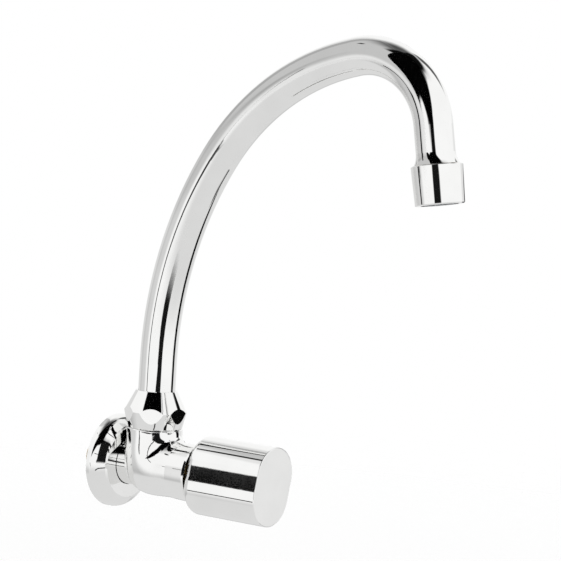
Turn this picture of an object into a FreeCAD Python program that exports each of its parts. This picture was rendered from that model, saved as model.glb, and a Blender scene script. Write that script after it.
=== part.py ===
import FreeCAD, Part
import math
import os

# Wall-mounted sink tap with a swivelling gooseneck spout. All sizes are in millimetres.
# The wall is the plane Y = 0 and the tap stands out from it towards -Y, with +Z up. The inlet and
# the valve share one axis through the origin. Depths are measured from the wall along this axis,
# and heights on the swivel axis are measured upwards from it.

# Clearances
running_clearance = 0.05
seat_clearance = 0.05
thread_clearance = 0.05
hex_clearance = 0.2
slip_clearance = 0.4
height_match = 1e-4

# Inlet tail, a half-inch pipe thread
tail_radius = 10.4775
tail_length = 15.0
tail_chamfer = 1.0
inlet_bore_radius = 6.0

# Wall flange, its foam gasket and the ring that grips the neck
flange_radius = 27.6
flange_rim_height = 2.5
flange_edge_radius = 7.0
flange_slope = 45.0
flange_lip_bevel = 0.8
flange_body_gap = 0.4
flange_wall = 1.2
flange_wall_gap = 0.3
flange_sleeve_length = 4.6
gasket_thickness = 2.5
gasket_width = 4.5
flange_ring_section = 1.0
flange_ring_groove_depth = 1.7

# Cast body
wall_to_swivel = 28.2
neck_radius = 13.0
neck_start = 3.0
barrel_radius = 16.6
barrel_end_radius = 17.2
barrel_end_depth = 63.7
barrel_edge_radius = 0.8
corner_offset = 22.0
corner_sections = 7
corner_points = 24
corner_step = 0.02
riser_top = 22.9
riser_bevel = 0.5
spigot_radius = 13.6
spigot_top = 33.9
spigot_chamfer = 0.8

# Valve chamber
mouth_radius = 14.3
mouth_recess = 4.0
bonnet_thread_length = 14.0
chamber_radius = 11.0
chamber_length = 25.7
seat_radius = 8.5
seat_bore_radius = 5.5
seat_length = 4.4
seat_stand = 0.4
seat_lip_width = 1.6
seat_lip_height = 0.6
outlet_bore_radius = 7.0
plug_bore_radius = 10.0
plug_bore_bottom = 13.0

# Headwork bonnet
bonnet_sleeve_length = 7.0
bonnet_sleeve_radius = 10.5
bonnet_thread_radius = 12.2
bonnet_washer_thickness = 0.9
bonnet_flange_radius = 14.0
bonnet_flange_thickness = 3.0
bonnet_hex_width = 19.0
bonnet_hex_length = 6.0
bonnet_nose_radius = 8.6
bonnet_nose_length = 23.0
bonnet_chamfer = 0.6

# Valve jumper, its washer and screw
valve_lift = 5.0
washer_radius = 7.6
washer_thickness = 3.0
washer_hole_radius = 1.7
jumper_disc_radius = 8.4
jumper_disc_thickness = 3.0
jumper_rim_depth = 1.6
jumper_neck_radius = 4.2
guide_width = 13.8
guide_lead = 2.0
guide_length = 12.0
drive_thread_radius = 3.5
drive_thread_length = 12.0
screw_radius = 1.5
screw_length = 7.0
screw_head_radius = 3.0
screw_head_height = 1.6
screw_slot_width = 0.8
screw_slot_depth = 0.8

# Spindle, its seals and its circlip
spindle_radius = 5.0
spindle_head_radius = 8.0
spindle_head_length = 8.0
thrust_washer_thickness = 0.7
drive_bore_margin = 2.0
spindle_ring_section = 0.65
spindle_ring_setback = 15.0
spindle_ring_pitch = 6.0
spindle_ring_count = 2
spline_radius = 4.0
spline_length = 15.95
spline_depth = 0.45
spline_teeth = 20
circlip_thickness = 0.9
circlip_width = 1.9
circlip_groove_depth = 0.8
circlip_opening = 4.0

# Knob
knob_reach = 23.0
knob_waist = 16.7
knob_hollow_curve = 100.0
knob_rest_turn = -13.7
knob_back_gap = 0.5
knob_length = 52.1
knob_back_edge = 4.8
knob_front_edge = 0.5
knob_shell = 2.2
knob_face_wall = 3.0
knob_back_wall = 5.4
knob_mouth_radius = 11.4
knob_boss_radius = 9.2
insert_length = 15.0
insert_width = 13.0
grub_radius = 2.0
grub_length = 6.0
grub_setback = 8.0
grub_socket_width = 2.0
grub_socket_depth = 2.0
grub_hole_radius = 2.4

# Swivel nut
nut_height = 22.15
nut_bottom_radius = 16.2
nut_ridge_radius = 18.45
nut_ridge_height = 9.95
nut_top_radius = 12.2
nut_width = 34.0
nut_foot_bevel = 0.5
nut_shoulder_height = 5.6
nut_cavity_radius = 13.7

# Gooseneck tube
tube_radius = 11.0
tube_wall = 1.2
tube_start = 41.0
neck_straight = 16.45
rise_bend_radius = 225.0
rise_bend_angle = 33.0
lean_bend_radius = 145.0
lean_bend_angle = 45.0
crown_bend_radius = 43.5
crown_bend_angle = 92.0
drop_length = 14.9
flare_length = 6.4
flare_radius = 12.8

# Spout foot, its seals and bearings
foot_bottom_gap = 0.4
foot_bore_radius = 7.0
foot_socket_length = 10.0
foot_ring_section = 0.9
foot_ring_first = 17.0
foot_ring_pitch = 7.0
foot_ring_count = 2
slip_ring_thickness = 0.9
split_ring_thickness = 2.5
split_ring_radius = 13.3
split_ring_groove_depth = 1.0
split_ring_opening = 3.0
foot_collar_height = 1.0

# Outlet collar and aerator
collar_thread_radius = 11.8
collar_bore_radius = 8.4
collar_socket_length = 7.0
collar_thread_length = 8.0
housing_radius = 14.45
housing_end_radius = 13.75
housing_length = 21.7
housing_gap = 0.15
housing_bevel = 0.5
housing_lip_radius = 10.4
housing_lip_height = 2.2
aerator_washer_thickness = 2.0
cartridge_radius = 11.2
cartridge_wall = 1.3
cartridge_plate = 1.2
jet_count = 10
jet_radius = 0.7
jet_circle_radius = 6.0
air_slot_count = 8
air_slot_width = 2.0
air_slot_height = 2.4
screen_thickness = 0.4
screen_rise = 2.0
grid_thickness = 1.6
grid_rim = 1.1
grid_hole_width = 1.5
grid_pitch = 1.95

# Sizes that follow from the ones above
flange_depth = wall_to_swivel - barrel_radius - flange_body_gap
nut_bottom = riser_top + seat_clearance
nut_top = nut_bottom + nut_height
nut_shoulder = nut_top - nut_shoulder_height
mouth_depth = barrel_end_depth - mouth_recess
bonnet_thread_start = mouth_depth - bonnet_thread_length
chamber_start = bonnet_thread_start - chamber_length
seat_face_depth = chamber_start + seat_stand
seat_depth = seat_face_depth - seat_length
bonnet_inner_depth = bonnet_thread_start - bonnet_sleeve_length
bonnet_flange_depth = mouth_depth + 2 * seat_clearance + bonnet_washer_thickness
bonnet_hex_depth = bonnet_flange_depth + bonnet_flange_thickness
bonnet_nose_end = bonnet_hex_depth + bonnet_nose_length
guide_start = bonnet_inner_depth - guide_lead
guide_bore_width = guide_width + hex_clearance
spindle_head_depth = guide_start + guide_length + valve_lift + drive_bore_margin
spindle_head_end = spindle_head_depth + spindle_head_length
bearing_depth = spindle_head_end + thrust_washer_thickness + 2 * seat_clearance
spindle_bore_radius = spindle_radius + running_clearance
drive_bore_end = guide_start + guide_length + drive_thread_length + valve_lift + drive_bore_margin
washer_depth = seat_face_depth + seat_clearance
jumper_back = washer_depth + washer_thickness - jumper_rim_depth
jumper_disc_end = washer_depth + washer_thickness + jumper_disc_thickness
knob_back = barrel_end_depth + knob_back_gap
knob_face = knob_back + knob_length
knob_cavity_end = knob_face - knob_face_wall
circlip_depth = bonnet_nose_end + seat_clearance
spline_start = circlip_depth + circlip_thickness + 2 * seat_clearance
spindle_ring_first = bonnet_nose_end - spindle_ring_setback
spindle_end_depth = spline_start + spline_length
insert_start = spindle_end_depth - insert_length
grub_depth = spindle_end_depth - grub_setback
collar_ring_low = spigot_top + seat_clearance
collar_bottom = collar_ring_low + slip_ring_thickness + seat_clearance
split_ring_low = collar_bottom + foot_collar_height
split_ring_high = split_ring_low + split_ring_thickness
tube_bore_radius = tube_radius - tube_wall
plug_radius = plug_bore_radius - running_clearance
slip_ring_radius = nut_cavity_radius - slip_clearance
grid_radius = cartridge_radius - cartridge_wall - running_clearance
housing_top = flare_length + housing_gap
housing_bottom = housing_top + housing_length
collar_end = flare_length + running_clearance + collar_thread_length
washer_top = collar_end + seat_clearance
cartridge_top = washer_top + aerator_washer_thickness + seat_clearance
cartridge_bottom = housing_bottom - housing_lip_height - seat_clearance


def vec(x, y, z):
    return FreeCAD.Vector(x, y, z)


def on_circle(centre, radius, degrees):
    """Point on a circle of a half-section, where points are (radius from the axis, height)."""
    angle = math.radians(degrees)
    return (centre[0] + radius * math.cos(angle), centre[1] + radius * math.sin(angle))


def half_section(start, steps):
    """Closed face in the XZ plane. A step is a point, or a pair (via, end) that draws an arc."""
    edges = []
    here = start
    closed = steps[-1][1] == start
    for step in steps if closed else [*steps, start]:
        if isinstance(step[0], tuple):
            via, end = step
            corners = [vec(r, 0, z) for r, z in (here, via, end)]
            edges.append(Part.Arc(*corners).toShape())
        else:
            end = step
            edges.append(Part.LineSegment(vec(here[0], 0, here[1]), vec(end[0], 0, end[1])).toShape())
        here = end
    return Part.Face(Part.Wire(edges))


def turned(start, *steps):
    """Solid of revolution about the Z axis from a half-section."""
    return half_section(start, steps).revolve(vec(0, 0, 0), vec(0, 0, 1), 360)


def rod(radius, low, high):
    return Part.makeCylinder(radius, high - low, vec(0, 0, low))


def ring(inner, outer, low, high):
    return rod(outer, low, high).cut(rod(inner, low, high))


def round_ring(middle_radius, section_radius, height):
    """Sealing ring of round section."""
    return Part.makeTorus(middle_radius, section_radius, vec(0, 0, height))


def polygon_prism(corners, low, high):
    points = [vec(x, y, low) for x, y in corners]
    return Part.Face(Part.makePolygon(points + points[:1])).extrude(vec(0, 0, high - low))


def hex_prism(width, low, high):
    """Hexagonal prism of a given width across flats, with two flats square to Y."""
    corner = width / math.sqrt(3)
    corners = [on_circle((0, 0), corner, 60 * turn) for turn in range(6)]
    return polygon_prism(corners, low, high)


def block(width, depth, height, centre):
    corner = centre - vec(width, depth, height) * 0.5
    return Part.makeBox(width, depth, height, corner)


def around(shape, count, first=0.0):
    """Copies of a shape evenly spaced about the Z axis."""
    copies = []
    for index in range(count):
        copy = shape.copy()
        copy.rotate(vec(0, 0, 0), vec(0, 0, 1), first + 360.0 * index / count)
        copies.append(copy)
    return copies


def fused(shapes):
    return shapes[0].multiFuse(shapes[1:]).removeSplitter()


def edges_at_height(shape, height):
    """Edges that lie wholly at one height."""
    flat = []
    for edge in shape.Edges:
        box = edge.BoundBox
        if abs(box.ZMin - height) < height_match and abs(box.ZMax - height) < height_match:
            flat.append(edge)
    return flat


def placed(shape, placement):
    copy = shape.copy()
    copy.Placement = placement.multiply(copy.Placement)
    return copy


# The valve line turns local +Z towards -Y, so local heights become depths from the wall
outward = FreeCAD.Rotation(vec(1, 0, 0), 90)
valve_line = FreeCAD.Placement(vec(0, 0, 0), outward)
swivel_foot = vec(0, -wall_to_swivel, 0)
swivel_line = FreeCAD.Placement(swivel_foot, FreeCAD.Rotation())


def bend_path():
    """Centre line of the gooseneck in the plane X = 0: its wire, end point and end angle."""
    edges = []
    here = swivel_foot + vec(0, 0, tube_start)
    angle = 0.0
    top = swivel_foot + vec(0, 0, nut_top + neck_straight)
    edges.append(Part.LineSegment(here, top).toShape())
    here = top
    bends = [
        (rise_bend_radius, rise_bend_angle),
        (lean_bend_radius, lean_bend_angle),
        (crown_bend_radius, crown_bend_angle),
    ]
    for radius, sweep in bends:
        centre = here + vec(0, -math.cos(angle), -math.sin(angle)) * radius
        points = [here]
        for share in (0.5, 1.0):
            turn = angle + math.radians(sweep) * share
            points.append(centre + vec(0, math.cos(turn), math.sin(turn)) * radius)
        edges.append(Part.Arc(*points).toShape())
        here = points[-1]
        angle += math.radians(sweep)
    drop_end = here + vec(0, -math.sin(angle), math.cos(angle)) * drop_length
    edges.append(Part.LineSegment(here, drop_end).toShape())
    return Part.Wire(edges), drop_end, angle


spout_wire, drop_end, drop_angle = bend_path()
outlet_turn = math.degrees(drop_angle)
outlet_line = FreeCAD.Placement(drop_end, FreeCAD.Rotation(vec(1, 0, 0), outlet_turn))


def elbow_skin():
    """Corner between the riser and the barrel, lofted through sections that fan about its inside."""
    radius = barrel_radius - corner_step
    far = corner_offset + radius
    diagonal = corner_offset * math.sqrt(2)
    corner = swivel_foot + vec(0, -corner_offset, corner_offset)
    wires = []
    for index in range(corner_sections):
        fan = math.pi / 2 * index / (corner_sections - 1)
        skew = abs(math.pi / 4 - fan)
        slope = math.pi / 4 - skew
        half_chord = radius ** 2 - (diagonal * math.sin(skew)) ** 2
        if half_chord > 0 and math.tan(slope) > corner_offset / far:
            outside = diagonal * math.cos(skew) + math.sqrt(half_chord)
        else:
            outside = far / math.cos(slope)
        inside = corner_offset - radius
        half = (outside - inside) / 2
        out = vec(0, math.cos(fan), -math.sin(fan))
        centre = corner + out * (inside + half)
        points = []
        for step in range(corner_points):
            x, reach = on_circle((0, 0), 1.0, 90.0 - 360.0 * step / corner_points)
            points.append(centre + out * (half * reach) + vec(radius * x, 0, 0))
        curve = Part.BSplineCurve()
        curve.interpolate(points, PeriodicFlag=True)
        wires.append(Part.Wire([curve.toShape()]))
    return Part.makeLoft(wires, True, False)


def tap_body():
    """Cast elbow with its threaded tail, neck, valve barrel and the threaded spigot for the spout."""
    tail = turned(
        (0, -tail_length),
        (tail_radius - tail_chamfer, -tail_length),
        (tail_radius, -tail_length + tail_chamfer),
        (tail_radius, neck_start),
        (neck_radius, neck_start),
        (neck_radius, wall_to_swivel),
        (0, wall_to_swivel),
    )
    barrel = turned(
        (0, wall_to_swivel + corner_offset),
        (barrel_radius, wall_to_swivel + corner_offset),
        (barrel_end_radius, barrel_end_depth - barrel_edge_radius),
        (barrel_end_radius - barrel_edge_radius, barrel_end_depth),
        (0, barrel_end_depth),
    )
    riser = turned(
        (0, corner_offset),
        (barrel_radius, corner_offset),
        (barrel_radius, riser_top - riser_bevel),
        (barrel_radius - riser_bevel, riser_top),
        (spigot_radius, riser_top),
        (spigot_radius, spigot_top - spigot_chamfer),
        (spigot_radius - spigot_chamfer, spigot_top),
        (0, spigot_top),
    )
    skin = fused([
        placed(tail, valve_line),
        placed(barrel, valve_line),
        placed(riser, swivel_line),
        elbow_skin(),
    ])
    groove_middle = flange_depth - flange_sleeve_length / 2
    groove_radius = neck_radius - flange_ring_groove_depth
    groove = ring(groove_radius, neck_radius + tail_chamfer,
                  groove_middle - flange_ring_section - seat_clearance,
                  groove_middle + flange_ring_section + seat_clearance)
    inlet = rod(inlet_bore_radius, -tail_length, seat_depth)
    waterway = turned(
        (0, seat_depth),
        (seat_radius + thread_clearance, seat_depth),
        (seat_radius + thread_clearance, chamber_start),
        (chamber_radius, chamber_start),
        (chamber_radius, bonnet_thread_start),
        (bonnet_thread_radius + thread_clearance, bonnet_thread_start),
        (bonnet_thread_radius + thread_clearance, mouth_depth),
        (mouth_radius, mouth_depth),
        (mouth_radius, barrel_end_depth),
        (0, barrel_end_depth),
    )
    outlet = turned(
        (0, 0),
        (outlet_bore_radius, 0),
        (outlet_bore_radius, plug_bore_bottom),
        (plug_bore_radius, plug_bore_bottom),
        (plug_bore_radius, spigot_top),
        (0, spigot_top),
    )
    skin = skin.cut(placed(groove.fuse(inlet), valve_line))
    return skin.cut(placed(waterway, valve_line)).cut(placed(outlet, swivel_line))


def wall_flange():
    """Pressed bell-shaped cover: rounded rim, cone and a rolled-in sleeve that rides on the neck."""
    centre = (flange_radius - flange_edge_radius, flange_rim_height)
    inner_edge = flange_edge_radius - flange_wall
    outer_foot = on_circle(centre, flange_edge_radius, flange_slope)
    inner_foot = on_circle(centre, inner_edge, flange_slope)
    lean = math.tan(math.radians(flange_slope))
    bevel = on_circle((0, 0), flange_lip_bevel, 90 - flange_slope)
    face = outer_foot[0] - (flange_depth - outer_foot[1]) * lean
    inner_face = inner_foot[0] - (flange_depth - flange_wall - inner_foot[1]) * lean
    sleeve_bore = neck_radius + slip_clearance
    shape = turned(
        (flange_radius, flange_wall_gap),
        (flange_radius, flange_rim_height),
        (on_circle(centre, flange_edge_radius, flange_slope / 2), outer_foot),
        (face + bevel[0], flange_depth - bevel[1]),
        (face - flange_lip_bevel, flange_depth),
        (sleeve_bore, flange_depth),
        (sleeve_bore, flange_depth - flange_sleeve_length),
        (sleeve_bore + flange_wall, flange_depth - flange_sleeve_length),
        (sleeve_bore + flange_wall, flange_depth - flange_wall),
        (inner_face, flange_depth - flange_wall),
        inner_foot,
        (on_circle(centre, inner_edge, flange_slope / 2), (flange_radius - flange_wall, flange_rim_height)),
        (flange_radius - flange_wall, flange_wall_gap),
    )
    return placed(shape, valve_line)


def flange_gasket():
    outer = flange_radius - flange_wall - running_clearance
    return placed(ring(outer - gasket_width, outer, 0, gasket_thickness), valve_line)


def flange_grip_ring():
    middle = flange_depth - flange_sleeve_length / 2
    radius = neck_radius + slip_clearance - seat_clearance - flange_ring_section
    return placed(round_ring(radius, flange_ring_section, middle), valve_line)


def valve_seat():
    """Screwed-in seat with a raised lip that the washer closes on."""
    lip_inner = seat_bore_radius
    lip_outer = lip_inner + seat_lip_width
    base = seat_face_depth - seat_lip_height
    shape = turned(
        (lip_inner, seat_depth + seat_clearance),
        (seat_radius, seat_depth + seat_clearance),
        (seat_radius, base),
        (lip_outer, base),
        (lip_outer, seat_face_depth),
        (lip_inner, seat_face_depth),
    )
    return placed(shape, valve_line)


def bonnet():
    """Headwork bonnet: threaded barrel, flange, hexagon and the nose that carries the spindle."""
    hex_end = bonnet_hex_depth + bonnet_hex_length
    skin = turned(
        (0, bonnet_inner_depth),
        (bonnet_sleeve_radius, bonnet_inner_depth),
        (bonnet_sleeve_radius, bonnet_thread_start + thread_clearance),
        (bonnet_thread_radius, bonnet_thread_start + bonnet_chamfer + thread_clearance),
        (bonnet_thread_radius, bonnet_flange_depth),
        (bonnet_flange_radius, bonnet_flange_depth),
        (bonnet_flange_radius, bonnet_hex_depth),
        (bonnet_nose_radius, bonnet_hex_depth),
        (bonnet_nose_radius, bonnet_nose_end - bonnet_chamfer),
        (bonnet_nose_radius - bonnet_chamfer, bonnet_nose_end),
        (0, bonnet_nose_end),
    )
    bore = turned(
        (0, spindle_head_depth - seat_clearance),
        (spindle_head_radius + running_clearance, spindle_head_depth - seat_clearance),
        (spindle_head_radius + running_clearance, bearing_depth),
        (spindle_bore_radius, bearing_depth),
        (spindle_bore_radius, bonnet_nose_end),
        (0, bonnet_nose_end),
    )
    guide = hex_prism(guide_bore_width, bonnet_inner_depth, spindle_head_depth)
    shape = skin.fuse(hex_prism(bonnet_hex_width, bonnet_hex_depth, hex_end)).removeSplitter()
    return placed(shape.cut(bore).cut(guide), valve_line)


def bonnet_washer():
    low = mouth_depth + seat_clearance
    inner = bonnet_thread_radius + seat_clearance
    return placed(ring(inner, bonnet_flange_radius, low, low + bonnet_washer_thickness), valve_line)


def valve_jumper():
    """Rising valve carrier: washer cup, neck, hexagonal guide and the drive thread."""
    guide_end = guide_start + guide_length
    thread_end = guide_end + drive_thread_length
    cup_depth = washer_depth + washer_thickness
    shape = turned(
        (0, cup_depth),
        (washer_radius + running_clearance, cup_depth),
        (washer_radius + running_clearance, jumper_back),
        (jumper_disc_radius, jumper_back),
        (jumper_disc_radius, jumper_disc_end),
        (jumper_neck_radius, jumper_disc_end + jumper_disc_radius - jumper_neck_radius),
        (jumper_neck_radius, guide_start),
        (drive_thread_radius, guide_start),
        (drive_thread_radius, thread_end),
        (0, thread_end),
    )
    shape = shape.fuse(hex_prism(guide_width, guide_start, guide_end)).removeSplitter()
    tapped = rod(screw_radius + thread_clearance, washer_depth, washer_depth + screw_length + screw_radius)
    return placed(shape.cut(tapped), valve_line)


def valve_washer():
    low = washer_depth
    high = washer_depth + washer_thickness - seat_clearance
    return placed(ring(washer_hole_radius, washer_radius, low, high), valve_line)


def washer_screw():
    """Slotted screw that holds the washer in its cup."""
    head_depth = washer_depth - seat_clearance - screw_head_height
    shape = turned(
        (0, head_depth),
        (screw_head_radius, head_depth),
        (screw_head_radius, head_depth + screw_head_height),
        (screw_radius, head_depth + screw_head_height),
        (screw_radius, washer_depth + screw_length),
        (0, washer_depth + screw_length),
    )
    slot = block(3 * screw_head_radius, screw_slot_width, 2 * screw_slot_depth, vec(0, 0, head_depth))
    return placed(shape.cut(slot), valve_line)


def spline_prism(radius, depth, low, high):
    """Toothed bar: a ring of V-shaped teeth."""
    corners = []
    for index in range(2 * spline_teeth):
        reach = radius - depth * (index % 2)
        corners.append(on_circle((0, 0), reach, 180.0 * index / spline_teeth))
    return polygon_prism(corners, low, high)


def spindle():
    """Non-rising spindle: threaded head, sealed stem, circlip groove and splined end."""
    groove_radius = spindle_bore_radius - seat_clearance - 2 * spindle_ring_section - seat_clearance
    half_groove = spindle_ring_section + 2 * seat_clearance
    steps = [
        (spindle_head_radius, spindle_head_depth),
        (spindle_head_radius, spindle_head_end),
        (spindle_radius, spindle_head_end),
    ]
    for index in range(spindle_ring_count):
        middle = spindle_ring_first + spindle_ring_pitch * index
        steps += [
            (spindle_radius, middle - half_groove),
            (groove_radius, middle - half_groove),
            (groove_radius, middle + half_groove),
            (spindle_radius, middle + half_groove),
        ]
    steps += [
        (spindle_radius, circlip_depth - seat_clearance),
        (spindle_radius - circlip_groove_depth, circlip_depth - seat_clearance),
        (spindle_radius - circlip_groove_depth, spline_start),
        (0, spline_start),
    ]
    stem = turned((0, spindle_head_depth), *steps)
    teeth = spline_prism(spline_radius, spline_depth, spline_start, spindle_end_depth)
    drive_bore = rod(drive_thread_radius + thread_clearance, spindle_head_depth, drive_bore_end)
    return placed(stem.fuse(teeth).cut(drive_bore), valve_line)


def thrust_washer():
    low = spindle_head_end + seat_clearance
    shape = ring(spindle_bore_radius, spindle_head_radius, low, low + thrust_washer_thickness)
    return placed(shape, valve_line)


def spindle_ring(index):
    middle = spindle_ring_first + spindle_ring_pitch * index
    radius = spindle_bore_radius - seat_clearance - spindle_ring_section
    return placed(round_ring(radius, spindle_ring_section, middle), valve_line)


def spindle_circlip():
    inner = spindle_radius - circlip_groove_depth + seat_clearance
    outer = inner + circlip_width
    shape = ring(inner, outer, circlip_depth, circlip_depth + circlip_thickness)
    opening = block(circlip_opening, 2 * outer, 4 * circlip_thickness, vec(0, outer, circlip_depth))
    return placed(shape.cut(opening), valve_line)


def knob_outline(inset, low, high):
    """Oval prism of two round lobes joined by two shallow hollow waists."""
    reach = knob_reach - inset
    waist = knob_waist - inset
    hollow = knob_hollow_curve + inset
    lobe = ((waist + hollow) ** 2 + reach ** 2 - hollow ** 2) / (2 * (hollow + reach))
    touch = math.degrees(math.atan2(reach - lobe, waist + hollow))
    edges = []
    for side in (0, 180):
        middle = knob_rest_turn + side
        pivot = on_circle((0, 0), waist + hollow, middle)
        lobe_centre = on_circle((0, 0), reach - lobe, middle + 90)
        below = on_circle(pivot, hollow, middle + 180 + touch)
        above = on_circle(pivot, hollow, middle + 180 - touch)
        tip = on_circle((0, 0), reach, middle + 90)
        across = on_circle(lobe_centre, lobe, middle + 180 + touch)
        for points in ((below, on_circle((0, 0), waist, middle), above), (above, tip, across)):
            edges.append(Part.Arc(*[vec(x, y, low) for x, y in points]).toShape())
    return Part.Face(Part.Wire(edges)).extrude(vec(0, 0, high - low))


def grub_hole(radius, reach):
    """Cylinder from the valve axis downwards, where the grub screw goes in."""
    return Part.makeCylinder(radius, reach, vec(0, 0, grub_depth), vec(0, -1, 0))


def knob():
    """Cast knob shell with its boss, hexagonal socket and the side hole for the grub screw."""
    solid = knob_outline(0, knob_back, knob_face)
    solid = solid.makeFillet(knob_back_edge, edges_at_height(solid, knob_back))
    solid = solid.makeFillet(knob_front_edge, edges_at_height(solid, knob_face))
    cavity = knob_outline(knob_shell, knob_back + knob_back_wall, knob_cavity_end)
    boss = rod(knob_boss_radius, insert_start, knob_cavity_end + running_clearance)
    mouth = rod(knob_mouth_radius, knob_back, knob_back + knob_back_wall)
    socket = hex_prism(insert_width + hex_clearance, insert_start, spindle_end_depth + hex_clearance)
    shell = solid.cut(cavity.cut(boss)).cut(mouth).cut(socket)
    past_boss = grub_hole(grub_hole_radius, 2 * knob_reach)
    past_boss = past_boss.cut(rod(knob_boss_radius, insert_start, knob_face))
    tapped = grub_hole(grub_radius + thread_clearance, knob_boss_radius + running_clearance)
    return placed(shell.cut(tapped).cut(past_boss), valve_line)


def knob_insert():
    """Splined plastic sleeve between the spindle and the knob."""
    shape = hex_prism(insert_width, insert_start, spindle_end_depth)
    bore = spline_prism(spline_radius + running_clearance, spline_depth, insert_start, spindle_end_depth)
    return placed(shape.cut(bore).cut(grub_hole(grub_radius + thread_clearance, insert_width)), valve_line)


def grub_screw():
    """Socket grub screw that bites on the splines from below."""
    inner = spline_radius + seat_clearance
    shape = Part.makeCylinder(grub_radius, grub_length, vec(0, -inner, grub_depth), vec(0, -1, 0))
    socket = hex_prism(grub_socket_width, 0, 2 * grub_socket_depth)
    across = FreeCAD.Placement(vec(0, -inner - grub_length + grub_socket_depth, grub_depth), outward)
    return placed(shape.cut(placed(socket, across)), valve_line)


def swivel_nut():
    """Turned double-cone nut with six spanner flats that leave lens-shaped facets on its ridge."""
    ridge = nut_bottom + nut_ridge_height
    skin = turned(
        (0, nut_bottom),
        (nut_bottom_radius - nut_foot_bevel, nut_bottom),
        (nut_bottom_radius, nut_bottom + nut_foot_bevel),
        (nut_ridge_radius, ridge),
        (nut_top_radius, nut_top),
        (0, nut_top),
    )
    bore = turned(
        (0, nut_bottom),
        (spigot_radius + thread_clearance, nut_bottom),
        (spigot_radius + thread_clearance, spigot_top),
        (nut_cavity_radius, spigot_top),
        (nut_cavity_radius, nut_shoulder),
        (tube_radius + running_clearance, nut_shoulder),
        (tube_radius + running_clearance, nut_top),
        (0, nut_top),
    )
    return placed(skin.common(hex_prism(nut_width, nut_bottom, nut_top)).cut(bore), swivel_line)


def slip_ring(low, inner):
    return placed(ring(inner, slip_ring_radius, low, low + slip_ring_thickness), swivel_line)


def lower_slip_ring():
    return slip_ring(collar_ring_low, plug_bore_radius + seat_clearance)


def upper_slip_ring():
    return slip_ring(nut_shoulder - seat_clearance - slip_ring_thickness, tube_radius + running_clearance)


def split_ring():
    """Open ring in the foot's groove that the nut keeps down."""
    inner = tube_radius - split_ring_groove_depth + seat_clearance
    shape = ring(inner, split_ring_radius, split_ring_low + seat_clearance, split_ring_high - seat_clearance)
    opening = block(split_ring_opening, 2 * split_ring_radius, 3 * split_ring_thickness,
                    vec(0, split_ring_radius, split_ring_low))
    return placed(shape.cut(opening), swivel_line)


def foot_ring_height(index):
    return foot_ring_first + foot_ring_pitch * index


def spout_foot():
    """Turned foot brazed into the tube: sealed plug, collar, split-ring groove and socket."""
    bottom = plug_bore_bottom + foot_bottom_gap
    groove_radius = plug_bore_radius - 2 * seat_clearance - 2 * foot_ring_section
    half_groove = foot_ring_section + 2 * seat_clearance
    socket_radius = tube_bore_radius - running_clearance
    steps = [(plug_radius - spigot_chamfer, bottom), (plug_radius, bottom + spigot_chamfer)]
    for index in range(foot_ring_count):
        middle = foot_ring_height(index)
        steps += [
            (plug_radius, middle - half_groove),
            (groove_radius, middle - half_groove),
            (groove_radius, middle + half_groove),
            (plug_radius, middle + half_groove),
        ]
    steps += [
        (plug_radius, collar_bottom),
        (tube_radius, collar_bottom),
        (tube_radius, split_ring_low),
        (tube_radius - split_ring_groove_depth, split_ring_low),
        (tube_radius - split_ring_groove_depth, split_ring_high),
        (tube_radius, split_ring_high),
        (tube_radius, tube_start - seat_clearance),
        (socket_radius, tube_start - seat_clearance),
        (socket_radius, tube_start + foot_socket_length),
        (foot_bore_radius, tube_start + foot_socket_length),
    ]
    return placed(turned((foot_bore_radius, bottom), *steps), swivel_line)


def foot_ring(index):
    radius = plug_bore_radius - seat_clearance - foot_ring_section
    return placed(round_ring(radius, foot_ring_section, foot_ring_height(index)), swivel_line)


def spout_tube():
    """Bent tube with its trumpet-shaped outlet end."""
    start = swivel_foot + vec(0, 0, tube_start)
    across = Part.Circle(start, vec(0, 0, 1), tube_radius).toShape()
    inside = Part.Circle(start, vec(0, 0, 1), tube_bore_radius).toShape()
    outer = spout_wire.makePipeShell([Part.Wire([across])], True, False)
    inner = spout_wire.makePipeShell([Part.Wire([inside])], True, False)
    step = flare_radius - tube_radius
    curve = (flare_length ** 2 + step ** 2) / (2 * step)
    angle = math.degrees(math.asin(flare_length / curve))
    outer_centre = (tube_radius + curve, 0)
    flare = turned(
        (tube_bore_radius, 0),
        (tube_radius, 0),
        (on_circle(outer_centre, curve, 180 - angle / 2), (flare_radius, flare_length)),
        (flare_radius - tube_wall, flare_length),
        (on_circle(outer_centre, curve + tube_wall, 180 - angle / 2), (tube_bore_radius, 0)),
    )
    return outer.cut(inner).fuse(placed(flare, outlet_line)).removeSplitter()


def outlet_collar():
    """Threaded sleeve brazed inside the tube's outlet end."""
    socket_radius = tube_bore_radius - running_clearance
    low = flare_length + running_clearance
    shape = turned(
        (collar_bore_radius, -collar_socket_length),
        (socket_radius, -collar_socket_length),
        (socket_radius, low),
        (collar_thread_radius, low),
        (collar_thread_radius, low + collar_thread_length),
        (collar_bore_radius, low + collar_thread_length),
    )
    return placed(shape, outlet_line)


def aerator_housing():
    bore_radius = cartridge_radius + running_clearance
    shape = turned(
        (housing_radius - housing_bevel, housing_top),
        (housing_radius, housing_top + housing_bevel),
        (housing_end_radius, housing_bottom - housing_bevel),
        (housing_end_radius - housing_bevel, housing_bottom),
        (housing_lip_radius, housing_bottom),
        (housing_lip_radius, housing_bottom - housing_lip_height),
        (bore_radius, housing_bottom - housing_lip_height),
        (bore_radius, cartridge_top - seat_clearance),
        (collar_thread_radius + thread_clearance, cartridge_top - seat_clearance),
        (collar_thread_radius + thread_clearance, housing_top),
    )
    return placed(shape, outlet_line)


def aerator_washer():
    shape = ring(collar_bore_radius, collar_thread_radius, washer_top, washer_top + aerator_washer_thickness)
    return placed(shape, outlet_line)


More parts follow.
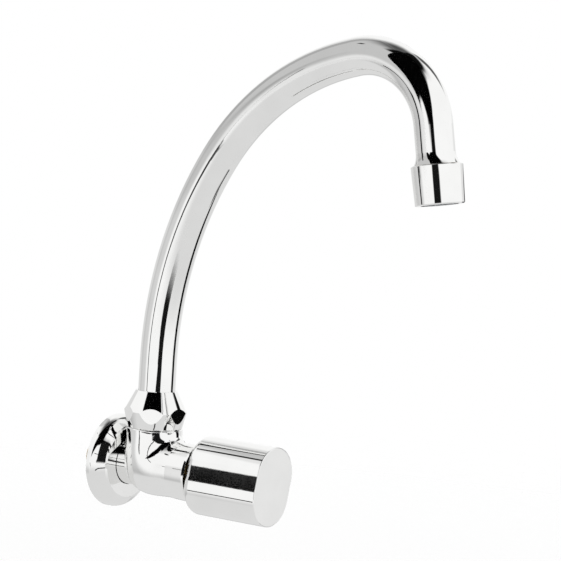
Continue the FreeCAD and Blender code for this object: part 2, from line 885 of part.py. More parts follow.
def aerator_cartridge():
    """Flow cartridge: jet plate, mixing chamber wall with air slots, open at the bottom."""
    inner = cartridge_radius - cartridge_wall
    shell = turned(
        (0, cartridge_top),
        (cartridge_radius, cartridge_top),
        (cartridge_radius, cartridge_bottom),
        (inner, cartridge_bottom),
        (inner, cartridge_top + cartridge_plate),
        (0, cartridge_top + cartridge_plate),
    )
    jet = rod(jet_radius, cartridge_top, cartridge_top + cartridge_plate)
    jet.translate(vec(jet_circle_radius, 0, 0))
    slot_middle = cartridge_top + cartridge_plate + air_slot_height
    slot = block(2 * cartridge_wall, air_slot_width, air_slot_height,
                 vec(cartridge_radius - cartridge_wall / 2, 0, slot_middle))
    shell = shell.cut(Part.makeCompound(around(jet, jet_count)))
    return placed(shell.cut(Part.makeCompound(around(slot, air_slot_count))), outlet_line)


def aerator_screen():
    """Domed inlet screen over the jet plate."""
    rim = collar_bore_radius - slip_clearance
    sphere = (rim ** 2 + screen_rise ** 2) / (2 * screen_rise)
    low = cartridge_top - seat_clearance
    half = math.degrees(math.asin(rim / sphere)) / 2
    centre = (0, low + sphere - screen_rise)
    inner = sphere - screen_thickness
    edge = math.degrees(math.acos((sphere - screen_rise) / inner))
    shape = turned(
        (0, low - screen_rise),
        (on_circle(centre, sphere, -90 + half), (rim, low)),
        (on_circle(centre, inner, -90 + edge)),
        (on_circle(centre, inner, -90 + edge / 2), (0, low - screen_rise + screen_thickness)),
    )
    return placed(shape, outlet_line)


def aerator_grid():
    """Outlet grid of small hexagonal cells."""
    low = cartridge_bottom - grid_thickness
    shape = rod(grid_radius, low, cartridge_bottom)
    reach = int(grid_radius / grid_pitch) + 1
    cells = []
    for row in range(-reach, reach + 1):
        for column in range(-reach, reach + 1):
            x = grid_pitch * (column + 0.5 * (row % 2))
            y = grid_pitch * row * math.sqrt(3) / 2
            if math.hypot(x, y) + grid_hole_width / 2 > grid_radius - grid_rim:
                continue
            cell = hex_prism(grid_hole_width, low, cartridge_bottom)
            cell.translate(vec(x, y, 0))
            cells.append(cell)
    return placed(shape.cut(Part.makeCompound(cells)), outlet_line)


pieces = {
    "tap_body": tap_body(),
    "wall_flange": wall_flange(),
    "flange_gasket": flange_gasket(),
    "flange_grip_ring": flange_grip_ring(),
    "valve_seat": valve_seat(),
    "bonnet": bonnet(),
    "bonnet_washer": bonnet_washer(),
    "valve_jumper": valve_jumper(),
    "valve_washer": valve_washer(),
    "washer_screw": washer_screw(),
    "spindle": spindle(),
    "thrust_washer": thrust_washer(),
    "spindle_circlip": spindle_circlip(),
    "knob": knob(),
    "knob_insert": knob_insert(),
    "grub_screw": grub_screw(),
    "swivel_nut": swivel_nut(),
    "lower_slip_ring": lower_slip_ring(),
    "upper_slip_ring": upper_slip_ring(),
    "split_ring": split_ring(),
    "spout_foot": spout_foot(),
    "spout_tube": spout_tube(),
    "outlet_collar": outlet_collar(),
    "aerator_housing": aerator_housing(),
    "aerator_washer": aerator_washer(),
    "aerator_cartridge": aerator_cartridge(),
    "aerator_screen": aerator_screen(),
    "aerator_grid": aerator_grid(),
}
for index in range(spindle_ring_count):
    pieces["spindle_o_ring_%d" % (index + 1)] = spindle_ring(index)
for index in range(foot_ring_count):
    pieces["foot_o_ring_%d" % (index + 1)] = foot_ring(index)

os.makedirs("parts", exist_ok=True)
for name, shape in pieces.items():
    shape.exportStep(os.path.join("parts", name + ".step"))
    print("%-20s solids %d valid %s volume %.1f" % (name, len(shape.Solids), shape.isValid(), shape.Volume))
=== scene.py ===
import bpy
import math
from mathutils import Matrix, Vector


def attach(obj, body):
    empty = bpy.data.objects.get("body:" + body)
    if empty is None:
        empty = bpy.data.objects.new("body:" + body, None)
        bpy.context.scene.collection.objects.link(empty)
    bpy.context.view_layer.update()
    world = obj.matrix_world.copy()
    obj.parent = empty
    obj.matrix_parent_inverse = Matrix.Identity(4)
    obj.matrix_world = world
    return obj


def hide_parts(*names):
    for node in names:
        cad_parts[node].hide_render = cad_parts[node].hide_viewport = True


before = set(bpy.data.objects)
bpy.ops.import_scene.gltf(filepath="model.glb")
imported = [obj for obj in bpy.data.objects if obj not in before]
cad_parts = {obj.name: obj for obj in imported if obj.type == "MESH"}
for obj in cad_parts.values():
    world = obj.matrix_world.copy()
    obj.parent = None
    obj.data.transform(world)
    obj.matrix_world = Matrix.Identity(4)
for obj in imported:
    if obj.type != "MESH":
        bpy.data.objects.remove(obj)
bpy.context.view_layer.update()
bpy.ops.object.select_all(action="DESELECT")
bpy.context.scene.view_settings.view_transform = "Standard"

# Camera. It stands to the left of the tap, far back on a long lens and a little above the knob,
# and leans a few degrees, so that the riser tilts to the left in the picture.
camera_turn = math.radians(-54.45)
camera_rise = math.radians(4.8)
camera_lean = math.radians(3.53)
camera_distance = 1.4706
looked_at = Vector((0.04452, -0.08082, 0.11361))
camera_data = bpy.data.cameras.new("camera")
camera_data.lens = 160.43
camera_data.sensor_width = 36.0
camera = bpy.data.objects.new("camera", camera_data)
bpy.context.scene.collection.objects.link(camera)
bpy.context.scene.camera = camera
camera_axes = (
    Matrix.Rotation(camera_turn, 4, "Z")
    @ Matrix.Rotation(math.pi / 2 - camera_rise, 4, "X")
    @ Matrix.Rotation(camera_lean, 4, "Z")
)
camera_setback = Matrix.Translation((0, 0, camera_distance))
camera.matrix_world = Matrix.Translation(looked_at) @ camera_axes @ camera_setback


# Studio. The tap stands in a white tent with grey and black flags on its walls, and polished chrome
# shows little else. A flag's place is its bearing, which is 0 straight out from the wall and 90 to
# the right, and its height over the horizon, both in degrees. The camera sees plain white.
class Wire:
    """A shader socket in a sum: each sign adds its Math node to the same tree."""

    def __init__(self, tree, socket=None):
        self.tree = tree
        self.socket = socket

    def node(self, kind, settings=None, sockets=None, out=0):
        """Adds a node of another kind: its settings first, then its sockets' values or wires."""
        made = self.tree.nodes.new(kind)
        for name, value in (settings or {}).items():
            setattr(made, name, value)
        for name, value in (sockets or {}).items():
            if isinstance(value, Wire):
                self.tree.links.new(value.socket, made.inputs[name])
            else:
                made.inputs[name].default_value = value
        return Wire(self.tree, made.outputs[out] if made.outputs else None)

    def maths(self, operation, *values):
        return self.node("ShaderNodeMath", {"operation": operation}, dict(enumerate(values)))

    def __add__(self, other):
        return self.maths("ADD", self, other)

    def __sub__(self, other):
        return self.maths("SUBTRACT", self, other)

    def __rsub__(self, other):
        return self.maths("SUBTRACT", other, self)

    def __mul__(self, other):
        return self.maths("MULTIPLY", self, other)

    def __truediv__(self, other):
        return self.maths("DIVIDE", self, other)

    def __pow__(self, other):
        return self.maths("POWER", self, other)

    __radd__ = __add__
    __rmul__ = __mul__

    def rise(self, low, high):
        """Soft step from 0 at low to 1 at high."""
        return self.node(
            "ShaderNodeMapRange",
            {"interpolation_type": "SMOOTHSTEP"},
            {"Value": self, "From Min": low, "From Max": high},
        )

    def band(self, low, high, soft):
        """1 between low and high, with soft edges that many units wide."""
        half = soft / 2
        return (self - low).rise(-half, half) * (1 - (self - high).rise(-half, half))

    def blend(self, first, second):
        """Colour that goes from first to second as this wire goes from 0 to 1."""
        colours = {0: self, 6: first, 7: second}
        return self.node("ShaderNodeMix", {"data_type": "RGBA"}, colours, out=2)


def split(place):
    """The three parts of a place or a direction, each on a wire of its own."""
    return [place.node("ShaderNodeSeparateXYZ", {}, {0: place}, out=axis) for axis in "XYZ"]


world = bpy.data.worlds.new("studio")
bpy.context.scene.world = world
world.use_nodes = True
tent = Wire(world.node_tree)
world.node_tree.nodes.clear()
ray_x, ray_y, ray_z = split(tent.node("ShaderNodeTexCoord", out="Generated"))
degrees = 180 / math.pi
bearing = tent.maths("ARCTAN2", ray_x, 0 - ray_y) * degrees
height = tent.maths("ARCSINE", ray_z) * degrees


def flag(dark, bearings, side_soft, heights, rim_soft):
    """The share of light that a flag takes, up to dark, between two bearings and two heights."""
    return dark * bearing.band(*bearings, side_soft) * height.band(*heights, rim_soft)


all_round = (-200, 200)
to_the_floor = -100
to_the_top = 200
grey_flags = [
    flag(0.26, all_round, 10, (to_the_floor, -17), 18),  # the floor
    flag(0.32, (-200, -132.5), 15, (-26, 16), 8),  # behind the tap, on the left
    flag(0.1, (-200, -163.5), 17, (-26, 16), 8),  # and darker right behind it
    flag(0.26, (145, 200), 14, (-26, to_the_top), 12),  # behind the tap, on the right
    flag(0.2, (98, 140), 10, (-30, -7), 5),  # low on the right, towards the wall
    flag(0.2, (66, 96), 10, (-20, 8), 8),  # on the right
    flag(0.16, (42, 68), 8, (-16, -3), 4),  # low on the right, towards the front
]

ceiling_low = 52
ceiling_slope = 11
ceiling_foot = ceiling_low + ceiling_slope * bearing.rise(-100, -45)
ceiling = (height - ceiling_foot).rise(-2, 6) * bearing.band(-122, 84, 12)
zenith = flag(0.9, all_round, 10, (66, to_the_top), 28)
side_flag = flag(0.9, (72, 92), 6, (26, 60), 12)
drop_line = flag(0.8, (120, 124), 1.5, (-2, 5), 1.5)
roof_seam = flag(0.97, (-158, -147), 2, (47.4, 50.6), 0.8)

# The tent's corner seam hangs straight down to a bend, leans from there and narrows downwards.
seam_bearing = -116
seam_bend = -7.2
seam_slope = 1.07
seam_thin = 0.4
seam_widening = 1.85
seam_soft = 0.35
seam_dark = 0.95
seam_lean = seam_slope * height.maths("MINIMUM", height - seam_bend, 0.0)
from_seam = bearing.maths("ABSOLUTE", bearing - seam_bearing + seam_lean)
seam_width = seam_thin + seam_widening * height.rise(-17, -9)
seam_ends = height.rise(-23, -12) * (1 - height.rise(-6.7, -5.7))
corner_seam = (1 - (from_seam - seam_width).rise(-seam_soft, seam_soft)) * seam_ends * seam_dark

tent_black = 0.004
light = 1.0
for shade in (*grey_flags, ceiling, zenith, side_flag, drop_line, roof_seam, corner_seam):
    light = light * (1 - shade)
light = light + tent_black

path = tent.node("ShaderNodeLightPath", out="Is Glossy Ray")
shown = 1 + path * (light - 1)
white = (1.0, 1.0, 1.0, 1.0)
backdrop = tent.node("ShaderNodeBackground", {}, {"Color": white, "Strength": shown})
tent.node("ShaderNodeOutputWorld", {}, {"Surface": backdrop})


# Cards. Two sheets of black velvet, four thin strips of it and a sheet of grey net stand upright
# near the tap, and only the chrome sees them. Each is a plane over a line on the floor, from foot
# to end, and its alpha cuts it to its outline. All sizes are in metres.
strip_dark = 0.995


def surface(name):
    """An empty material: the material, its first wire, its shader and a wire of the place."""
    material = bpy.data.materials.new(name)
    material.use_nodes = True
    material.node_tree.nodes.clear()
    start = Wire(material.node_tree)
    shader = material.node_tree.nodes.new("ShaderNodeBsdfPrincipled")
    output = material.node_tree.nodes.new("ShaderNodeOutputMaterial")
    material.node_tree.links.new(shader.outputs[0], output.inputs["Surface"])
    place = start.node("ShaderNodeTexCoord", out="Object")
    return material, start, shader, place


def noise(start, place, scale, detail=2.0):
    """Noise over the piece's own place, with as many waves to a metre as its scale says."""
    sockets = {"Vector": place, "Scale": scale, "Detail": detail}
    return start.node("ShaderNodeTexNoise", {}, sockets)


def stand_card(name, foot, end, low, high, outline=None):
    """A card from low to high. Its outline takes the way across and up, and a strip has none."""
    upright = Vector((0.0, 0.0, 1.0))
    along = Vector((end[0] - foot[0], end[1] - foot[1], 0.0))
    run = along.normalized()
    bpy.ops.mesh.primitive_plane_add(size=1.0)
    card = bpy.context.object
    card.name = name
    middle = Vector(((foot[0] + end[0]) / 2, (foot[1] + end[1]) / 2, (low + high) / 2))
    stand = Matrix((run, upright, run.cross(upright))).transposed().to_4x4()
    stretch = Matrix.Diagonal((along.length, high - low, 1.0, 1.0))
    card.data.transform(Matrix.Translation(middle) @ stand @ stretch)
    velvet, start, shader, place = surface(name + "_velvet")
    east, north, up = split(place)
    across = (east - foot[0]) * run.x + (north - foot[1]) * run.y
    cover = outline(across, up) if outline else strip_dark
    pile = noise(start, place, scale=700.0)
    tone = pile.blend((0.0002, 0.0002, 0.0002, 1), (0.0006, 0.0006, 0.0006, 1))
    mirrored = start.node("ShaderNodeLightPath", out="Is Glossy Ray")
    velvet.node_tree.links.new(tone.socket, shader.inputs["Base Color"])
    velvet.node_tree.links.new((mirrored * cover).socket, shader.inputs["Alpha"])
    shader.inputs["Roughness"].default_value = 1.0
    shader.inputs["Specular IOR Level"].default_value = 0.0
    card.data.materials.append(velvet)


def tall_outline(across, up):
    """A trunk with a soft inner edge that leans over above its bend, under a wide sheet."""
    trunk_line, trunk_width, trunk_taper, trunk_foot, trunk_dark = 0.15, 0.144, 0.24, 0.04, 0.992
    inner_gap, belly_depth, bend, bend_slope = 0.008, 0.03, 0.27, 0.45
    edge_blur, added_blur = 0.008, 0.12
    sheet_low, sheet_step, sheet_soft = 0.235, 0.1, 0.02
    beside = across - trunk_line
    over_bend = up.maths("MAXIMUM", up - bend, 0.0)
    belly = belly_depth * up.rise(0.02, 0.17) * (1 - up.rise(0.2, 0.235))
    blur = edge_blur + added_blur * up.rise(0.35, 0.8)
    inner = (beside + inner_gap + belly + bend_slope * over_bend) / blur
    outer_line = trunk_width - trunk_taper * up + trunk_foot * (1 - up.rise(-0.01, 0.02))
    trunk = (1 - (beside - outer_line).rise(-0.006, 0.012)) * up.rise(-0.045, -0.01)
    sheet_foot = sheet_low + sheet_step * beside.rise(0.1, 0.4)
    sheet = (up - sheet_foot).rise(-sheet_soft, sheet_soft)
    return (1 - (1 - trunk_dark * trunk) * (1 - sheet)) * inner.rise(-1.0, 1.0)


def side_outline(across, up):
    """A column that narrows below the knob's height, on a slanting foot."""
    near_line, near_lean = 0.105, 0.13
    far_line, far_lean_below, far_lean_above = 0.205, 1.15, 0.2
    foot_line, foot_slope, foot_top, foot_half_width = 0.103, 0.85, -0.075, 0.028
    column_soft, foot_soft, column_dark = 0.006, 0.01, 0.997
    below = up.maths("MINIMUM", up, 0.0)
    above = up.maths("MAXIMUM", up, 0.0)
    near_edge = near_line + near_lean * above
    far_edge = far_line + far_lean_below * below + far_lean_above * above
    column = (across - near_edge).rise(-column_soft, column_soft)
    column = column * (1 - (across - far_edge).rise(-column_soft, column_soft))
    column = column * up.rise(-0.085, -0.078) * (1 - up.rise(0.18, 0.21))
    foot_middle = foot_line + foot_slope * (up - foot_top)
    foot_edge = across.maths("ABSOLUTE", across - foot_middle) - foot_half_width
    foot = 1 - foot_edge.rise(-foot_soft, foot_soft)
    foot = foot * (1 - up.rise(-0.09, -0.082)) * up.rise(-0.17, -0.09)
    return column_dark * (column + foot)


def net_outline(across, up):
    """Grey net in two layers, thin low down and thicker above, faded in from its near side."""
    low_net, high_net = 0.16, 0.26
    layers = low_net * up.rise(0.15, 0.19) + high_net * up.rise(0.21, 0.28)
    return layers * across.rise(0.0, 0.09)


stand_card("tall_card", (-0.0375, -0.375), (-3.731, 1.505), -0.06, 2.6, tall_outline)
stand_card("side_card", (0.1596, -0.3349), (0.3318, -0.0892), -0.18, 0.22, side_outline)
stand_card("drop_card", (-0.201, 0.0242), (-0.247, 0.0522), 0.14, 0.26)
stand_card("outlet_strip", (-0.0505, -0.1616), (-0.0438, -0.1566), 0.15, 0.222)
stand_card("knob_strip", (-0.0645, -0.01), (-0.0645, -0.095), 0.0163, 0.01805)
stand_card("low_strip", (-0.0645, -0.025), (-0.0645, -0.09), -0.022, -0.0187)
stand_card("grey_card", (-0.362, -0.116), (0.144, 0.225), 0.14, 1.2, net_outline)

# Floor. A sheet of white paper well below the tap, which only hangs from the wall. It catches the
# soft shadow and runs out to nothing before its edge shows.
floor_middle = Vector((0, -0.1, -0.115))
floor_reach = 1.2
paper_tone = 0.74
glow_to_camera = 0.25
fade_start = 0.25
fade_end = 1.0

bpy.ops.mesh.primitive_circle_add(vertices=64, radius=floor_reach, fill_type="NGON")
floor = bpy.context.object
floor.name = "floor"
floor.data.transform(Matrix.Translation(floor_middle))
paper, start, shader, place = surface("white_paper")
shader.inputs["Roughness"].default_value = 0.9
shader.inputs["Specular IOR Level"].default_value = 0.0
grain = noise(start, place, scale=900.0, detail=3.0)
seen = start.node("ShaderNodeLightPath", out="Is Camera Ray")
tone = paper_tone + glow_to_camera * seen
pale = start.node("ShaderNodeCombineColor", {}, {"Red": tone, "Green": tone, "Blue": tone})
paper.node_tree.links.new(pale.socket, shader.inputs["Base Color"])
away = start.node("ShaderNodeVectorMath", {"operation": "LENGTH"}, {0: place}, out="Value")
mirrored = start.node("ShaderNodeLightPath", out="Is Glossy Ray")
under = start.node("ShaderNodeNewGeometry", out="Backfacing")
cover = (1 - away.rise(fade_start, fade_end)) * (1 - mirrored) * (1 - under)
paper.node_tree.links.new(cover.socket, shader.inputs["Alpha"])
relief = start.node("ShaderNodeBump", {}, {"Strength": 0.05, "Distance": 0.0002, "Height": grain})
paper.node_tree.links.new(relief.socket, shader.inputs["Normal"])
floor.data.materials.append(paper)


# Body. One brass casting, ground, buffed and plated with nickel and chrome. Its inlet tail is cut
# with a half-inch pipe thread and left bare, as are its bores and the spigot under the nut. The
# thread is turned over the tail of a copy of the casting, which keeps all its other faces.
neck_face = -0.003
tail_end = 0.015
tail_radius = 0.0104775
inlet_radius = 0.006
thread_pitch = 0.001814
thread_depth = 0.001162
thread_turns = 14
steps_per_turn = 72
run_out_start = 0.0005
run_out = 0.002
end_chamfer = 0.001
plated_mouth_radius = 0.0125
spigot_foot = 0.023
plating_edge = 0.0001
polish_wave_share = 0.3
merge_gap = 1e-6


def tool_marks(start, along, scale, detail):
    """Fine parallel marks across the wire along."""
    sockets = {"W": along, "Scale": scale, "Detail": detail}
    return start.node("ShaderNodeTexNoise", {"noise_dimensions": "1D"}, sockets)


def dulled(pattern, least, added):
    """A roughness from least, where the pattern is 0, to least and added, where it is 1."""
    return least + added * pattern


def plate(start, place):
    """Colour, roughness and relief of buffed chrome, with a faint haze and slow polishing waves."""
    haze = noise(start, place, scale=55.0, detail=3.0)
    waves = noise(start, place, scale=140.0, detail=2.0)
    tone = haze.rise(0.3, 0.7).blend((0.9, 0.9, 0.892, 1), (0.93, 0.93, 0.922, 1))
    return tone, dulled(haze, least=0.02, added=0.022), waves


def turned_brass(start, place, along):
    """Colour, roughness and relief of bare turned brass, with tool marks across the wire along."""
    marks = tool_marks(start, along, scale=5200.0, detail=4.0)
    stain = noise(start, place, scale=130.0, detail=4.0)
    tone = stain.rise(0.25, 0.75).blend((0.72, 0.54, 0.25, 1), (0.85, 0.68, 0.38, 1))
    return tone, dulled(stain, least=0.2, added=0.16), marks


def link_finish(start, shader, finish, relief_depth, metal=1.0):
    """Links a finish, which is a colour, a roughness and a relief, to the shader."""
    tone, dull, relief = finish
    sockets = {"Strength": 0.3, "Distance": relief_depth, "Height": relief}
    bump = start.node("ShaderNodeBump", {}, sockets)
    for wire, name in ((tone, "Base Color"), (dull, "Roughness"), (bump, "Normal")):
        start.tree.links.new(wire.socket, shader.inputs[name])
    shader.inputs["Metallic"].default_value = metal


def dress(material, *names):
    for name in names:
        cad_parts[name].material_slots[0].material = material


casting, start, shader, place = surface("plated_casting")
east, north, up = split(place)
from_inlet = (east * east + up * up) ** 0.5
tail_part = (north - neck_face).rise(-plating_edge, plating_edge)
bore_part = 1 - (from_inlet - plated_mouth_radius).rise(-plating_edge, plating_edge)
spigot_part = (up - spigot_foot).rise(-plating_edge, plating_edge)
bare = 1 - (1 - tail_part) * (1 - bore_part) * (1 - spigot_part)
plate_tone, plate_dull, plate_waves = plate(start, place)
brass_tone, brass_dull, brass_marks = turned_brass(start, place, north)
bare_or_plated = (
    bare.blend(plate_tone, brass_tone),
    plate_dull + bare * (brass_dull - plate_dull),
    polish_wave_share * plate_waves + bare * brass_marks,
)
link_finish(start, shader, bare_or_plated, relief_depth=0.00005)

# One pitch of the thread's outline, as depth from crest and place along the pitch, is wound up.
thread_line = ((1, -0.5), (1, -0.42), (0, -0.08), (0, 0.08), (1, 0.42), (1, 0.5))
first_pitch = neck_face - 2 * thread_pitch
bpy.ops.mesh.primitive_circle_add(vertices=6, radius=tail_radius, fill_type="NOTHING")
thread = bpy.context.object
bpy.ops.object.mode_set(mode="EDIT")
bpy.ops.mesh.select_mode(type="EDGE")
bpy.ops.mesh.select_all(action="DESELECT")
bpy.ops.object.mode_set(mode="OBJECT")
for edge in thread.data.edges:
    edge.select = set(edge.vertices) == {0, 5}
bpy.ops.object.mode_set(mode="EDIT")
bpy.ops.mesh.delete(type="EDGE")
bpy.ops.object.mode_set(mode="OBJECT")
for point, (depth, pitch_part) in zip(thread.data.vertices, thread_line):
    along_tail = first_pitch + pitch_part * thread_pitch
    point.co = (tail_radius - depth * thread_depth, along_tail, 0.0)
winding = thread.modifiers.new("winding", "SCREW")
winding.axis = "Y"
winding.screw_offset = thread_pitch
winding.iterations = thread_turns
winding.steps = steps_per_turn
winding.render_steps = steps_per_turn
winding.use_smooth_shade = True
bpy.ops.object.modifier_apply(modifier="winding")
bpy.ops.object.mode_set(mode="EDIT")
bpy.ops.mesh.select_all(action="SELECT")
bpy.ops.mesh.remove_doubles(threshold=merge_gap)
bpy.ops.mesh.bisect(
    plane_co=(0, tail_end, 0), plane_no=(0, 1, 0), clear_outer=True, threshold=merge_gap
)
bpy.ops.mesh.select_all(action="SELECT")
bpy.ops.mesh.bisect(
    plane_co=(0, neck_face, 0), plane_no=(0, 1, 0), clear_inner=True, threshold=merge_gap
)
bpy.ops.mesh.select_all(action="SELECT")
bpy.ops.mesh.normals_make_consistent(inside=False)
bpy.ops.mesh.select_all(action="DESELECT")
bpy.ops.mesh.select_mode(type="VERT")
bpy.ops.object.mode_set(mode="OBJECT")

# Towards the neck the thread runs out to a plain shank. Its free end is chamfered, and a face
# closes it down to the inlet's bore.
at_end = 5 * merge_gap


def radius_at(place):
    return math.hypot(place.x, place.z)


def move_to_radius(point, radius):
    share = radius / radius_at(point.co)
    point.co.x *= share
    point.co.z *= share


for point in thread.data.vertices:
    cut = min(max((point.co.y - run_out_start) / run_out, 0.0), 1.0)
    root = tail_radius - thread_depth * cut
    crest = tail_radius - max(point.co.y - tail_end + end_chamfer, 0.0)
    move_to_radius(point, min(max(radius_at(point.co), root), crest))
    point.select = abs(point.co.y - tail_end) < at_end
bpy.ops.object.mode_set(mode="EDIT")
bpy.ops.mesh.extrude_edges_move()
bpy.ops.object.mode_set(mode="OBJECT")
for point in thread.data.vertices:
    if point.select:
        move_to_radius(point, inlet_radius)
bpy.ops.object.mode_set(mode="EDIT")
bpy.ops.mesh.select_all(action="SELECT")
bpy.ops.mesh.normals_make_consistent(inside=False)
bpy.ops.object.mode_set(mode="OBJECT")
outwardness = sum(
    face.normal.dot(Vector((face.center.x, 0, face.center.z))) for face in thread.data.polygons
)
if outwardness < 0:
    thread.data.flip_normals()
thread.data.materials.append(casting)
bpy.ops.object.shade_smooth_by_angle(angle=math.radians(30))

# The plain tail comes off a copy of the casting, and the thread takes its place.
beyond_faces = 1e-4
beyond_bore = 1e-3
body_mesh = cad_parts["tap_body"].data.copy()
body_piece = bpy.data.objects.new("threaded_body", body_mesh)
bpy.context.scene.collection.objects.link(body_piece)
body_mesh.materials.clear()
body_mesh.materials.append(casting)
bpy.ops.object.select_all(action="DESELECT")
body_piece.select_set(True)
bpy.context.view_layer.objects.active = body_piece
bpy.ops.object.mode_set(mode="EDIT")
bpy.ops.mesh.select_mode(type="FACE")
bpy.ops.mesh.select_all(action="DESELECT")
bpy.ops.object.mode_set(mode="OBJECT")
for face in body_mesh.polygons:
    corners = [body_mesh.vertices[index].co for index in face.vertices]
    widest = max(radius_at(corner) for corner in corners)
    behind_neck = max(corner.y for corner in corners) > neck_face + beyond_faces
    off_bore = widest > inlet_radius + beyond_bore
    within_tail = widest < tail_radius + beyond_faces
    face.select = behind_neck and off_bore and within_tail
bpy.ops.object.mode_set(mode="EDIT")
bpy.ops.mesh.delete(type="FACE")
bpy.ops.object.mode_set(mode="OBJECT")
thread.select_set(True)
bpy.ops.object.join()
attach(body_piece, "body")
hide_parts("tap_body")

# Wall flange. A round cover, drawn from brass sheet and plated, which slides along the body's neck.
# A soft rubber ring inside it grips the neck, and a ring of closed-cell foam seals it to the wall.
def plated(name, relief_depth):
    """A buffed and plated piece, with waves as deep as its making left them."""
    material, start, shader, place = surface(name)
    link_finish(start, shader, plate(start, place), relief_depth)
    return material


dress(plated("drawn_plate", relief_depth=0.00002), "wall_flange")


def moulded_rubber(name, dark, pale):
    """Moulded rubber with a dull skin, a little bloom and the fine grain of its mould."""
    material, start, shader, place = surface(name)
    bloom = noise(start, place, scale=260.0, detail=5.0)
    grain = noise(start, place, scale=5200.0)
    tone = bloom.rise(0.35, 0.75).blend((dark, dark, dark, 1), (pale, pale, pale * 0.97, 1))
    finish = (tone, dulled(bloom, least=0.5, added=0.25), grain)
    link_finish(start, shader, finish, relief_depth=0.00004, metal=0.0)
    shader.inputs["Specular IOR Level"].default_value = 0.35
    return material


dress(moulded_rubber("grip_rubber", 0.012, 0.028), "flange_grip_ring")
foam, start, shader, place = surface("closed_cell_foam")
wall_share = 0.65
cell_sockets = {"Vector": place, "Scale": 1500.0}
cells = start.node("ShaderNodeTexVoronoi", {"feature": "SMOOTH_F1"}, cell_sockets)
dust = noise(start, place, scale=120.0, detail=4.0)
walls = cells.rise(0.15, 0.75)
# The cell walls are painted lighter than the pits between them, a painted shade in the pits, mixed
# with a random dust of tone.
pit_shade_and_dust = wall_share * walls + (1 - wall_share) * dust
foam_tone = pit_shade_and_dust.blend((0.02, 0.02, 0.021, 1), (0.085, 0.085, 0.088, 1))
foam_finish = (foam_tone, dulled(walls, least=0.8, added=0.18), walls)
link_finish(start, shader, foam_finish, relief_depth=0.0003, metal=0.0)
shader.inputs["Specular IOR Level"].default_value = 0.2
dress(foam, "flange_gasket")

# Valve. A brass seat is screwed into the chamber. The jumper, a brass disc on a hexagonal guide,
# carries a rubber washer on a small steel screw, and rises along the spindle's thread.
def brass_turning(name, axis):
    """A piece turned from a brass bar that lies along one axis."""
    material, start, shader, place = surface(name)
    along = split(place)["XYZ".index(axis)]
    link_finish(start, shader, turned_brass(start, place, along), relief_depth=0.00006)
    return material


lying_brass = brass_turning("lying_brass", "Y")
dress(lying_brass, "valve_seat", "valve_jumper", "bonnet", "spindle")
black_rubber = moulded_rubber("black_rubber", 0.01, 0.022)
dress(black_rubber, "valve_washer")


def turned_steel(name, axis):
    """Stainless steel with fine marks across one axis, with a painted highlight on top of them and
    painted grey shade between.
    """
    material, start, shader, place = surface(name)
    along = split(place)["XYZ".index(axis)]
    marks = tool_marks(start, along, scale=7000.0, detail=3.0)
    cloud = noise(start, place, scale=300.0, detail=3.0)
    # The colour is painted lighter on the marks' crests and darker in their grooves, as painted
    # highlight and shade, half mixed with a random cloud of tone.
    tone = (0.5 * marks + 0.5 * cloud).blend((0.5, 0.505, 0.51, 1), (0.72, 0.72, 0.71, 1))
    finish = (tone, dulled(marks, least=0.2, added=0.2), marks)
    link_finish(start, shader, finish, relief_depth=0.00004)
    return material


dress(turned_steel("lying_steel", "Y"), "washer_screw", "spindle_circlip")

# Headwork. The brass bonnet is screwed into the body's mouth on a rubber washer. The brass spindle
# turns in it on a nylon thrust washer, behind two rubber O-rings and a spring-steel circlip.
dress(black_rubber, "bonnet_washer", "spindle_o_ring_1", "spindle_o_ring_2")


def moulded_plastic(name, dark, pale, flow_scale, skin_scale, least, added, relief_depth):
    """Moulded plastic, a little glossy, clouded where it flowed, with its mould's fine skin."""
    material, start, shader, place = surface(name)
    flow = noise(start, place, scale=flow_scale, detail=3.0)
    skin = noise(start, place, scale=skin_scale)
    tone = flow.rise(0.3, 0.7).blend((*dark, 1), (*pale, 1))
    finish = (tone, dulled(flow, least, added), skin)
    link_finish(start, shader, finish, relief_depth, metal=0.0)
    return material


nylon = moulded_plastic(
    "white_nylon",
    dark=(0.76, 0.75, 0.69),
    pale=(0.84, 0.835, 0.79),
    flow_scale=180.0,
    skin_scale=3800.0,
    least=0.36,
    added=0.14,
    relief_depth=0.00004,
)
dress(nylon, "thrust_washer")

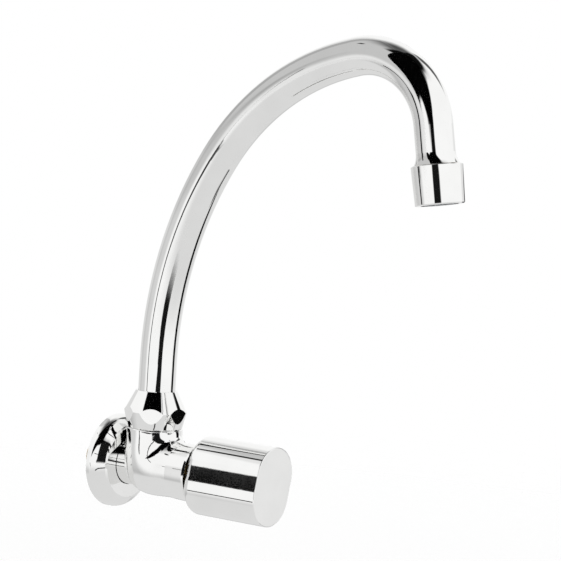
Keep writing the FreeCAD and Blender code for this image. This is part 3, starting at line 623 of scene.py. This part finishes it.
# Knob. A hollow zinc casting with two hollowed sides, plated like the body. A nylon insert grips
# the spindle's splines, and a small socket screw in its underside holds it there.
dress(plated("knob_plate", relief_depth=0.000015), "knob")
dress(nylon, "knob_insert")
dress(turned_steel("standing_steel", "Z"), "grub_screw")

# Swivel nut. A plated brass nut, turned to two cones and milled to a hexagon, which holds the spout
# down on the spigot. Two nylon slip rings and a brass split ring run inside it.
nut_plate = plated("nut_plate", relief_depth=0.000015)
dress(nut_plate, "swivel_nut")
dress(nylon, "lower_slip_ring", "upper_slip_ring")
standing_brass = brass_turning("standing_brass", "Z")
dress(standing_brass, "split_ring")

# Spout. A brass tube of 22 mm, bent over a mandrel, buffed and plated, and flared at its end. It is
# brazed on a turned foot, whose two rubber O-rings seal in the spigot.
dress(plated("tube_plate", relief_depth=0.00002), "spout_tube")
dress(standing_brass, "spout_foot")
dress(black_rubber, "foot_o_ring_1", "foot_o_ring_2")

# Aerator. A plated housing is screwed over a brass collar in the flare. It clamps a rubber washer
# and a grey acetal cartridge, with a woven steel screen on its jets and a grid of square holes
# below them.
wire_pitch = 0.0005
dress(nut_plate, "aerator_housing")
dress(standing_brass, "outlet_collar")
dress(black_rubber, "aerator_washer")
acetal = moulded_plastic(
    "grey_acetal",
    dark=(0.42, 0.44, 0.47),
    pale=(0.54, 0.56, 0.59),
    flow_scale=240.0,
    skin_scale=4200.0,
    least=0.34,
    added=0.16,
    relief_depth=0.00005,
)
dress(acetal, "aerator_cartridge", "aerator_grid")
woven, start, shader, place = surface("woven_wire")
east, north, up = split(place)
turns = math.pi / wire_pitch
warp = start.maths("ABSOLUTE", start.maths("SINE", turns * east))
weft = start.maths("ABSOLUTE", start.maths("SINE", turns * north))
wires = start.maths("MAXIMUM", warp, weft)
# The wires are pale, and the gaps between them are painted near black, a painted shade in the
# screen's openings.
wires_and_gap_shade = wires.rise(0.45, 0.8).blend((0.04, 0.04, 0.042, 1), (0.66, 0.67, 0.68, 1))
wire_finish = (wires_and_gap_shade, dulled(wires, least=0.5, added=-0.22), wires)
link_finish(start, shader, wire_finish, relief_depth=0.0002)
dress(woven, "aerator_screen")
